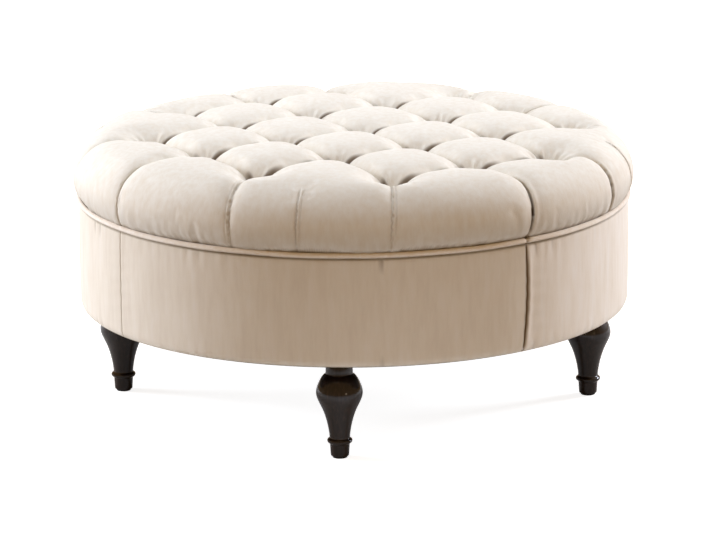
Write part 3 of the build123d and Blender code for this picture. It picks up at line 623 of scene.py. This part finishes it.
def foldLift(flat):
    # The fine folds: a line in each crease, and a lap and a ridge beside each pleat
    lift = np.zeros(len(flat))
    half, beside, width = folds["crease"]
    for start, end, _ in creases:
        share, gap, _ = alongRun(flat, start, end)
        depth = half + (beside - half) * np.abs(2 * share - 1) ** 3
        lift = np.minimum(lift, -depth * np.exp(-(gap / width) ** 2))
    for start, end, bold, lap, bow, puff in pleats + halfRuns:
        share, gap, side = alongRun(flat, start, end, bow)
        level = gap < np.abs(side) + 1e-6
        there = foldStrength(share, bold, puff, folds["onset"]) * level
        line, twin = (ridges(side * lap, folds[kind]) for kind in ("bold", "twin"))
        lift += there * (bold * line + (1 - bold) * twin)
    return lift


def paintedShade(flat):
    # Painted shade: dark in the tufts, near them in the creases and along the pleats, under the puffs
    # and at the welt
    shade = np.zeros(len(flat))
    pressed = shades["width"] + shades["widthPerFill"] * np.maximum(fillAt(flat),
                                                                    shades["leastFill"])
    strength, softWidth = shades["soft"]
    for start, end, sameRow in creases:
        share, gap, side = alongRun(flat, start, end)
        nearTuft = np.minimum(share, 1 - share)
        dark, lap = shades["inRow" if sameRow else "acrossRows"]
        dark = 1 - step(0.5 * dark, dark, nearTuft)
        hidden = pressed + shades["widthAtTuft"] * dark + shades["widthAway"] * nearTuft
        width = np.where(side * lap > 0, hidden, shades["openWidth"])
        line = dark * np.exp(-(gap / width) ** 6)
        soft = strength * (1 - step(*shades["softRun"], nearTuft))
        shade = np.maximum(shade, np.maximum(line, soft * np.exp(-(gap / softWidth) ** 2)))
    for start, end, bold, lap, bow, puff in pleats + halfRuns:
        share, gap, side = alongRun(flat, start, end, bow)
        level = gap < np.abs(side) + 1e-6
        there = foldStrength(share, bold, puff, shades["onset"]) * level
        line, twin = (ridges(side * lap, shades[kind]) for kind in ("bold", "twin"))
        shade = np.maximum(shade, there * np.maximum(bold * line, (1 - bold) * twin))
    for place in tuftPlaces:
        shade = np.maximum(shade, 1 - step(*shades["tuft"], np.hypot(*(flat - place).T)))
    reach = np.hypot(flat[:, 0], flat[:, 1])
    # Painted shade on the underside of the puffs, down to the welt
    strength, above, run = shades["under"]
    shade = np.maximum(shade, strength * np.clip((reach - flatEdge + above) / run, 0, 1))
    strength, above, full = shades["welt"]
    shade = np.maximum(shade, strength * step(flatEdge - above, flatEdge - full, reach))
    return shades["most"] * shade


def lineUp(flat):
    # Beside a pleat the vertices slide into lines along it, so that its fold is crisp
    width = folds["lines"]
    slid = flat.copy()
    for start, end, _, _, bow, _ in pleats + halfRuns:
        share, gap, side = alongRun(flat, start, end, bow)
        near = (gap < folds["reach"]) & (share > folds["linesFrom"]) & (share < 1)
        shift = (np.round(side / width) * width - side) * (1 - step(*folds["lineFade"], gap))
        slid[near] += shift[near, None] * acrossRun(start, end)
    return slid


def getFlat(mesh):
    data = mesh.attributes["flatPlace"].data
    flat = np.zeros(len(data) * 3)
    data.foreach_get("vector", flat)
    return flat.reshape(-1, 3)[:, :2]


def cutFiner(mesh):
    # Only the cloth beside the pleats needs the smallest quads
    flat = getFlat(mesh)
    near = np.zeros(len(flat), bool)
    for start, end, _, _, bow, _ in pleats + halfRuns:
        share, gap, _ = alongRun(flat, start, end, bow)
        near |= (gap < folds["reach"]) & (share > 0) & (share < 1)
    bm = bmesh.new()
    bm.from_mesh(mesh)
    edges = [e for e in bm.edges if near[e.verts[0].index] and near[e.verts[1].index]]
    bmesh.ops.subdivide_edges(bm, edges=edges, cuts=1, use_grid_fill=True)
    return meshFrom(bm, "tuftedCushion")


def smallFolds(flat):
    # Gathers round each tuft, and puckers above the welt
    lift = np.zeros(len(flat))
    start, full, last, end = folds["gatherRing"]
    seed, *waves = folds["gatherWaves"]
    for index, place in enumerate(tuftPlaces):
        gap = flat - place
        far = np.hypot(gap[:, 0], gap[:, 1])
        around = np.arctan2(gap[:, 1], gap[:, 0])
        fade = step(start, full, far) * (1 - step(last, end, far))
        lift += folds["gather"] * fade * wave(around, seed + index, *waves)
    around = np.arctan2(flat[:, 1], flat[:, 0])
    start, full = (flatEdge - above for above in folds["puckerReach"])
    low = step(start, full, np.hypot(flat[:, 0], flat[:, 1]))
    patch = patches(around, folds["patchSpan"], folds["patchWaves"])
    return lift + folds["pucker"] * low * patch * wave(around, *folds["puckerWaves"])


def finishCushion(mesh):
    trial = bpy.data.objects.new("cushionTrial", mesh)
    scene.collection.objects.link(trial)
    finer = trial.modifiers.new("Subdivision", "SUBSURF")
    finer.levels = finer.render_levels = 1
    fine = cutFiner(applied(trial))
    bpy.data.objects.remove(trial)
    flat = getFlat(fine)
    points = getPoints(fine)
    normals = getPoints(fine, "normal")
    slid = lineUp(flat)
    points += overCushion(slid, puffDepth(slid)) - overCushion(flat, puffDepth(flat))
    storeShade(fine, paintedShade(slid))
    lift = foldLift(slid) + smallFolds(slid)
    setPoints(fine, points + normals * lift[:, None])
    return fine


def closeUnder(mesh):
    # The cloth turns in under the welt, and the form is closed
    bm = bmesh.new()
    bm.from_mesh(mesh)
    rim = [e for e in bm.edges if e.is_boundary]
    for scale in cushion["turnIn"]:
        made = bmesh.ops.extrude_edge_only(bm, edges=rim)["geom"]
        ring = [g for g in made if isinstance(g, bmesh.types.BMVert)]
        bmesh.ops.scale(bm, vec=(scale, scale, 1), verts=ring)
        for v in ring:
            v.co.z = cushion["bottom"]
        rim = [g for g in made if isinstance(g, bmesh.types.BMEdge)]
    bmesh.ops.holes_fill(bm, edges=rim, sides=0)
    bmesh.ops.recalc_face_normals(bm, faces=bm.faces)
    return meshFrom(bm, "tuftedCushion")


flatMesh, flatPlaces, edgeFlags = makeCushion()
settleCloth(flatMesh, flatPlaces, edgeFlags)
cushionMesh = closeUnder(finishCushion(flatMesh))
cushionPiece = makeObject("tuftedCushion", cushionMesh, cushionVelvet)
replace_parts(cushionPiece, "tufted_cover")
print("cushion made,", len(cushionMesh.vertices), "vertices")

band = {
    "radius": 0.4576,
    "top": 0.3443,
    "bottom": 0.1642,
    # Radius, and how far below the top or above the bottom
    "topTurn": [(0.4490, 0.0), (0.4540, 0.0), (0.4557, 0.0007), (0.4567, 0.0022),
                (0.4573, 0.0050), (0.4576, 0.0090)],
    "bottomTurn": [(0.4568, 0.0080), (0.4552, 0.0040), (0.4520, 0.0012), (0.4480, 0.0),
                   (0.4380, 0.0)],
    "rows": 34,  # of quads between the two turns
    "step": 0.5,  # degrees for each quad
    "thickness": 0.0016,
    "fill": 0.9,  # how tight, from 0 to 1
    # Degrees, from one seam to the next
    "seams": {"front": (-142.1, -49.3), "right": (-49.3, 37.9), "back": (37.9, 130.7),
              "left": (130.7, 217.9)},
    "seamDip": {-49.3: 0.0024, 37.9: 0.0016, 130.7: 0.0016, -142.1: 0.0010, 217.9: 0.0010},
    "seamWidth": 0.007,
    "seamCuts": (0.0008, 0.0020, 0.0036, 0.0056, 0.0080),
    # The panel on the anticlockwise side laps the seam: by how much, from where, its crest and width
    "seamLap": (0.0012, 0.0005, 0.0046, 0.0034),
    # How far the boldest seam bows, how far it leans back at the bottom, and how far beside it
    "seamLean": (0.0030, 0.0060, 0.04),
    "bulge": 0.0008,
    "flatFoot": 0.003,  # the turn under the drum stays flat
    "pucker": 0.0008,
    "puckerEnds": 0.004,  # full from this near the top and the bottom
    "puckerHeights": (0.300, 0.205),  # those at the top end at the first, those below at the second
    "puckerWaves": (18, 7, 60, 170),
    "lowPucker": 0.7,  # how strong they are at the bottom
    "patchSpan": (-0.3, 1.2),
    "patchWaves": (17, 5, 3, 20),
    "seamPatch": (1.1, 0.050),  # stronger beside the seam by this much, and how far
    "frontPatch": (0.8, -0.47, 0.12),  # and low at the front right: by how much, radians, and width
    "swell": 0.0006,
    "swellWaves": (19, 4, 9, 40),
    "strain": 0.0004,  # tension lines beside a seam
    "strainReach": (0.004, 0.060),
    "strainWave": (260, 3, 9),  # radians in a metre, how far they wander, and how often round
    # The band's painted shade, stored on its points
    "seamShade": (0.0007, 0.0030, 0.15),  # least width of its dark, what a bold one adds, least share
    "topShade": (0.65, 0.0045, 0.0012),  # how dark, and from how far below the top to where
    "tuckShade": (0.7, 0.35),  # how dark, and how deep a pucker has to be
    "bottomShade": (0.35, 0.002),
}


def bandSheet(name, first, last):
    bm = bmesh.new()
    low, high = band["bottom"], band["top"]
    upper, lower = band["topTurn"][-1][1], band["bottomTurn"][0][1]
    outline = [(r, high - down) for r, down in band["topTurn"]]
    for k in range(1, band["rows"]):
        fall = (high - low - upper - lower) * k / band["rows"]
        outline.append((band["radius"], high - upper - fall))
    outline += [(r, low + up) for r, up in band["bottomTurn"]]
    chain = [bm.verts.new((r, 0, z)) for r, z in outline]
    edges = [bm.edges.new(pair) for pair in zip(chain, chain[1:])]
    bmesh.ops.rotate(bm, cent=(0, 0, 0), matrix=Matrix.Rotation(math.radians(first), 3, "Z"),
                     verts=chain)
    bmesh.ops.spin(bm, geom=chain + edges, cent=(0, 0, 0), axis=(0, 0, 1),
                   angle=math.radians(last - first), steps=round((last - first) / band["step"]))
    # Rows of narrow quads beside both seams, for their folds
    for gap in band["seamCuts"]:
        for turn in (math.radians(first) + gap / band["radius"],
                     math.radians(last) - gap / band["radius"]):
            bmesh.ops.bisect_plane(bm, geom=bm.verts[:] + bm.edges[:] + bm.faces[:], dist=1e-7,
                                   plane_co=(0, 0, 0), plane_no=(-math.sin(turn), math.cos(turn), 0))
    bmesh.ops.recalc_face_normals(bm, faces=bm.faces)
    return meshFrom(bm, name)


def foldBand(mesh, first, last):
    low, high = band["bottom"], band["top"]
    points = getPoints(mesh)
    height = points[:, 2]
    radius = np.hypot(points[:, 0], points[:, 1])
    around = np.arctan2(points[:, 1], points[:, 0])
    rise = np.clip((height - low) / (high - low), 0, 1)
    middle = np.sin(rise * math.pi)
    toFirst, toLast = (np.abs(np.angle(np.exp(1j * (around - math.radians(end))))) * radius
                       for end in (first, last))
    toSeam = np.minimum(toFirst, toLast)
    dips = np.where(toFirst < toLast, band["seamDip"][first], band["seamDip"][last])
    boldest = max(band["seamDip"].values())
    bold = dips / boldest
    # Puckers run up from the bottom and down from the welt, most of all beside a seam
    upperEnd, lowerEnd = band["puckerHeights"]
    upper = step(upperEnd, high - band["puckerEnds"], height)
    lower = 1 - step(low + band["puckerEnds"], lowerEnd, height)
    patch = patches(around, band["patchSpan"], band["patchWaves"])
    strength, width = band["seamPatch"]
    patch += strength * np.exp(-(toFirst / width) ** 2)
    strength, angle, width = band["frontPatch"]
    patch += strength * np.exp(-((around - angle) / width) ** 2) * lower
    ripple = band["pucker"] * wave(around, *band["puckerWaves"]) * patch
    ripple *= upper + band["lowPucker"] * lower
    grow = ripple + band["swell"] * wave(around, *band["swellWaves"]) * middle
    # Tension lines beside a seam
    along, wander, turns = band["strainWave"]
    beside = 1 - step(*band["strainReach"], toSeam)
    grow += band["strain"] * beside * middle * np.sin(height * along
                                                      + wander * np.sin(around * turns))
    size, start, crest, width = band["seamLap"]
    grow += size * bold * ridges(toFirst, [(crest, 1.0, width)]) * (toFirst > start)
    grow += band["bulge"] * middle - dips * roll(toSeam, band["seamWidth"])
    grow *= height >= low + band["flatFoot"]
    bow, back, width = band["seamLean"]
    lean = (bow * middle - back * (1 - rise) ** 2) * (dips == boldest)
    turned = around + lean * np.exp(-(toSeam / width) ** 2) / radius
    moved = np.column_stack([(radius + grow) * np.cos(turned), (radius + grow) * np.sin(turned),
                             height])
    setPoints(mesh, moved)
    # Painted shade: dark along the seams, just under the welt, in the troughs of the puckers and at the
    # bottom edge
    least, more, share = band["seamShade"]
    width = least + more * bold * np.sqrt(np.clip(4 * rise * (1 - rise), share, 1))
    shade = bold * np.exp(-(toSeam / width) ** 2)
    strength, start, full = band["topShade"]
    shade = np.maximum(shade, strength * step(high - start, high - full, height))
    strength, least = band["tuckShade"]
    shade = np.maximum(shade, strength * np.clip(-ripple / band["pucker"] - least, 0, 1))
    strength, above = band["bottomShade"]
    storeShade(mesh, np.maximum(shade, strength * (height < low + above)))


for side, (first, last) in band["seams"].items():
    name = "bandPanel" + side.capitalize()
    sheet = bandSheet(name, first, last)
    foldBand(sheet, first, last)
    piece = makeObject(name, sheet, rightPaintedLightVelvet if side == "right" else bandVelvet)
    wall = piece.modifiers.new("Wall", "SOLIDIFY")
    wall.thickness = band["thickness"]
    wall.offset = -1
    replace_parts(piece, "band_panel_" + side)
print("band made")

welt = {
    "ring": 0.4572,
    "height": 0.3486,
    "radius": 0.0047,
    "joint": -49.3,  # degrees
    "turns": 720,
    "sides": 20,
    "swells": (0.035, 0.02),  # broad and fine, as shares of its radius
    "swellWaves": ((31, 6, 20, 90), (32, 5, 150, 300)),
    "sway": 0.0005,  # up and down
    "swayWaves": (33, 4, 4, 22),
    "pinch": (0.45, 0.006),  # how much thinner it is at the joint, and how far each way
    "jointIn": (0.0012, 0.010),  # how far the joint sits in, and how far each way
    "jointDown": (0.0015, 0.012),
    # The cord's painted shade, stored on its points
    "shade": 0.9,
    "innerShade": (-0.0016, 0.0010),  # dark inside the first, clear outside the second
    "lowerShade": (-0.0046, -0.0004),  # dark below the first, clear above the second
    "jointLine": (0.7, 0.0016),  # slant and half width of the dark line at the joint
}


def makeWelt():
    bm = bmesh.new()
    bmesh.ops.create_circle(bm, segments=welt["sides"], radius=welt["radius"],
                            matrix=Matrix.Translation((welt["ring"], 0, welt["height"]))
                            @ Matrix.Rotation(math.pi / 2, 4, "X"))
    bmesh.ops.rotate(bm, cent=(0, 0, 0), verts=bm.verts,
                     matrix=Matrix.Rotation(math.radians(welt["joint"]), 3, "Z"))
    bmesh.ops.spin(bm, geom=bm.verts[:] + bm.edges[:], cent=(0, 0, 0), axis=(0, 0, 1),
                   angle=2 * math.pi, steps=welt["turns"], use_merge=True)
    bmesh.ops.recalc_face_normals(bm, faces=bm.faces)
    mesh = meshFrom(bm, "welt")
    points = getPoints(mesh)
    radius = np.hypot(points[:, 0], points[:, 1])
    around = np.arctan2(points[:, 1], points[:, 0])
    out = radius - welt["ring"]
    up = points[:, 2] - welt["height"]
    offJoint = np.angle(np.exp(1j * (around - math.radians(welt["joint"])))) * welt["ring"]
    # Painted shade: dark on the inner side and the underside of the cord, and a dark line across it at
    # the joint
    inside = 1 - step(*welt["innerShade"], out)
    below = 1 - step(*welt["lowerShade"], up)
    slant, width = welt["jointLine"]
    line = np.exp(-((offJoint - slant * up) / width) ** 2)
    storeShade(mesh, welt["shade"] * np.maximum(np.maximum(inside, below), line))
    thinner, reach = welt["pinch"]
    size = 1 - thinner * roll(np.abs(offJoint), reach)
    size *= 1 + sum(share * wave(around, *waves)
                    for share, waves in zip(welt["swells"], welt["swellWaves"]))
    inward, downward = (far * roll(np.abs(offJoint), reach)
                        for far, reach in (welt["jointIn"], welt["jointDown"]))
    grow = (welt["ring"] + out * size - inward) / radius
    sway = welt["sway"] * wave(around, *welt["swayWaves"])
    setPoints(mesh, np.column_stack([points[:, 0] * grow, points[:, 1] * grow,
                                     welt["height"] + up * size + sway - downward]))
    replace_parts(makeObject("welt", mesh, weltPaintedLightVelvet), "welt_cover")


makeWelt()
print("welt made")

leg = {
    "circle": 0.392,
    "steps": 64,
    # Height and radius, from the glide to the top
    "profile": [(0.0030, 0.0), (0.0030, 0.0136), (0.0034, 0.0145), (0.0044, 0.0149),
                (0.0100, 0.0152), (0.0200, 0.0158), (0.0232, 0.0160), (0.0240, 0.0172),
                (0.0252, 0.0192), (0.0272, 0.0204), (0.0292, 0.0205), (0.0310, 0.0194),
                (0.0322, 0.0174), (0.0330, 0.0164), (0.0350, 0.0165), (0.0400, 0.0169),
                (0.0460, 0.0178), (0.0550, 0.0194), (0.0650, 0.0219), (0.0745, 0.0249),
                (0.0815, 0.0277), (0.0880, 0.0308), (0.0945, 0.0340), (0.1010, 0.0367),
                (0.1070, 0.0379), (0.1130, 0.0374), (0.1190, 0.0357), (0.1260, 0.0328),
                (0.1326, 0.0295), (0.1366, 0.0262), (0.1386, 0.0236), (0.1396, 0.0221),
                (0.1420, 0.0219), (0.1640, 0.0220), (0.1640, 0.0)],
}


def makeLeg(side, x, y):
    name = "leg" + side.capitalize()
    bm = bmesh.new()
    chain = [bm.verts.new((r, 0, z)) for z, r in leg["profile"]]
    edges = [bm.edges.new(pair) for pair in zip(chain, chain[1:])]
    bmesh.ops.spin(bm, geom=chain + edges, cent=(0, 0, 0), axis=(0, 0, 1), angle=2 * math.pi,
                   steps=leg["steps"], use_merge=True)
    bmesh.ops.remove_doubles(bm, verts=bm.verts, dist=1e-6)
    bmesh.ops.recalc_face_normals(bm, faces=bm.faces)
    bmesh.ops.translate(bm, vec=(x * leg["circle"], y * leg["circle"], 0), verts=bm.verts)
    piece = makeObject(name, meshFrom(bm, name), espressoBeech)
    finer = piece.modifiers.new("Subdivision", "SUBSURF")
    finer.levels = finer.render_levels = 1
    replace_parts(piece, "leg_" + side)


for side, x, y in (("right", 1, 0), ("left", -1, 0), ("back", 0, 1), ("front", 0, -1)):
    makeLeg(side, x, y)
print("legs made")

studio = {
    "floor": ("#8F8575", "#F6F5F3"),  # the shades that the lamps' light meets on the paper
    "cloud": 0.6,  # how coarse they are, as a noise scale
    "floorHalf": 30,
    "floorGlow": 0.86,  # added for the camera alone, so that the paper looks white
    "sky": "#FFCE8C",
    "skyStrength": 0.318,
    # Name, colour, watts, size, where it hangs, where it points; the glint is the light spot on the
    # front leg
    "lamps": [
        ("topSoftbox", "#D2E7FF", 60, 1.5, (-0.1, 0.0, 3.0), (0, 0, 0.40)),
        ("leftSoftbox", "#E4EEFF", 116, 1.2, (-3.12, 0.46, 1.00), (0, 0, 0.30)),
        ("rightSoftbox", "#E7EFFF", 110, 1.0, (2.88, 1.56, 1.40), (0, 0, 0.30)),
        ("frontGlint", "#FFEBCF", 3.6, 0.20, (2.47, -3.67, 0.70), (0, 0, 0.15)),
    ],
    "unmirrored": ("leftSoftbox",),  # lamps that don't show in the lacquer
}
camera = {
    "place": (0.5076, -7.856, 2.183),
    "pitchDown": 14.06,  # degrees, as are the next two
    "turn": 3.65,
    "tilt": -0.47,
    "lens": 243.5,  # for an image 716 x 540
    "sensorWidth": 36,
    "clip": (0.1, 200),
}


def makeFloor():
    bm = bmesh.new()
    bmesh.ops.create_grid(bm, x_segments=4, y_segments=4, size=studio["floorHalf"])
    mesh = meshFrom(bm, "studioFloor")
    # Background paper, from a roll: matte, and clear from below so that the underside can be seen
    material, tree = newMaterial("studioPaper")
    place = addNode(tree, "ShaderNodeTexCoord").outputs["Object"]
    speck = addNode(tree, "ShaderNodeTexNoise", {"Scale": studio["cloud"]}, {"Vector": place})
    shade = setRamp(addNode(tree, "ShaderNodeValToRGB", links={"Fac": speck.outputs["Fac"]}),
                    list(zip((0.2, 0.8), studio["floor"])))
    seen = addNode(tree, "ShaderNodeLightPath")
    glow = addNode(tree, "ShaderNodeMath", {"operation": "MULTIPLY", 1: studio["floorGlow"]},
                   {0: seen.outputs["Is Camera Ray"]})
    shader = addNode(tree, "ShaderNodeBsdfPrincipled",
                     {"Roughness": 0.95, "Emission Color": linear("#FFFFFF")},
                     {"Base Color": shade.outputs[0], "Emission Strength": glow.outputs[0]})
    below = addNode(tree, "ShaderNodeNewGeometry").outputs["Backfacing"]
    clear = addNode(tree, "ShaderNodeBsdfTransparent")
    paper = addNode(tree, "ShaderNodeMixShader",
                    links={0: below, 1: shader.outputs[0], 2: clear.outputs[0]})
    finishMaterial(tree, paper)
    mesh.materials.append(material)
    floor = bpy.data.objects.new("studioFloor", mesh)
    scene.collection.objects.link(floor)


def makeSky():
    # The camera sees white, and the object is lit by a warm, weak sky
    world = bpy.data.worlds.new("studioSky")
    world.use_nodes = True
    tree = world.node_tree
    tree.nodes.clear()
    seen = addNode(tree, "ShaderNodeLightPath")
    lit = addNode(tree, "ShaderNodeBackground", {"Color": linear(studio["sky"]),
                                                 "Strength": studio["skyStrength"]})
    shown = addNode(tree, "ShaderNodeBackground", {"Color": linear("#FFFFFF"), "Strength": 1.0})
    both = addNode(tree, "ShaderNodeMixShader",
                   links={0: seen.outputs["Is Camera Ray"], 1: lit.outputs[0], 2: shown.outputs[0]})
    addNode(tree, "ShaderNodeOutputWorld", links={"Surface": both.outputs[0]})
    scene.world = world


def makeLamps():
    for name, colour, watts, size, place, aim in studio["lamps"]:
        light = bpy.data.lights.new(name, "AREA")
        light.energy, light.size = watts, size
        light.color = linear(colour)[:3]
        lamp = bpy.data.objects.new(name, light)
        lamp.location = place
        lamp.rotation_euler = (Vector(aim) - Vector(place)).to_track_quat("-Z", "Y").to_euler()
        lamp.visible_glossy = name not in studio["unmirrored"]
        scene.collection.objects.link(lamp)


def makeCamera():
    data = bpy.data.cameras.new("photoCamera")
    data.lens, data.sensor_width = camera["lens"], camera["sensorWidth"]
    data.clip_start, data.clip_end = camera["clip"]
    holder = bpy.data.objects.new("photoCamera", data)
    holder.location = camera["place"]
    facing = Matrix.Rotation(math.radians(camera["turn"]), 4, "Z")
    facing @= Matrix.Rotation(math.radians(90 - camera["pitchDown"]), 4, "X")
    facing @= Matrix.Rotation(math.radians(camera["tilt"]), 4, "Z")
    holder.rotation_euler = facing.to_euler()
    scene.collection.objects.link(holder)
    scene.camera = holder


makeFloor()
makeSky()
makeLamps()
makeCamera()
print("studio made")
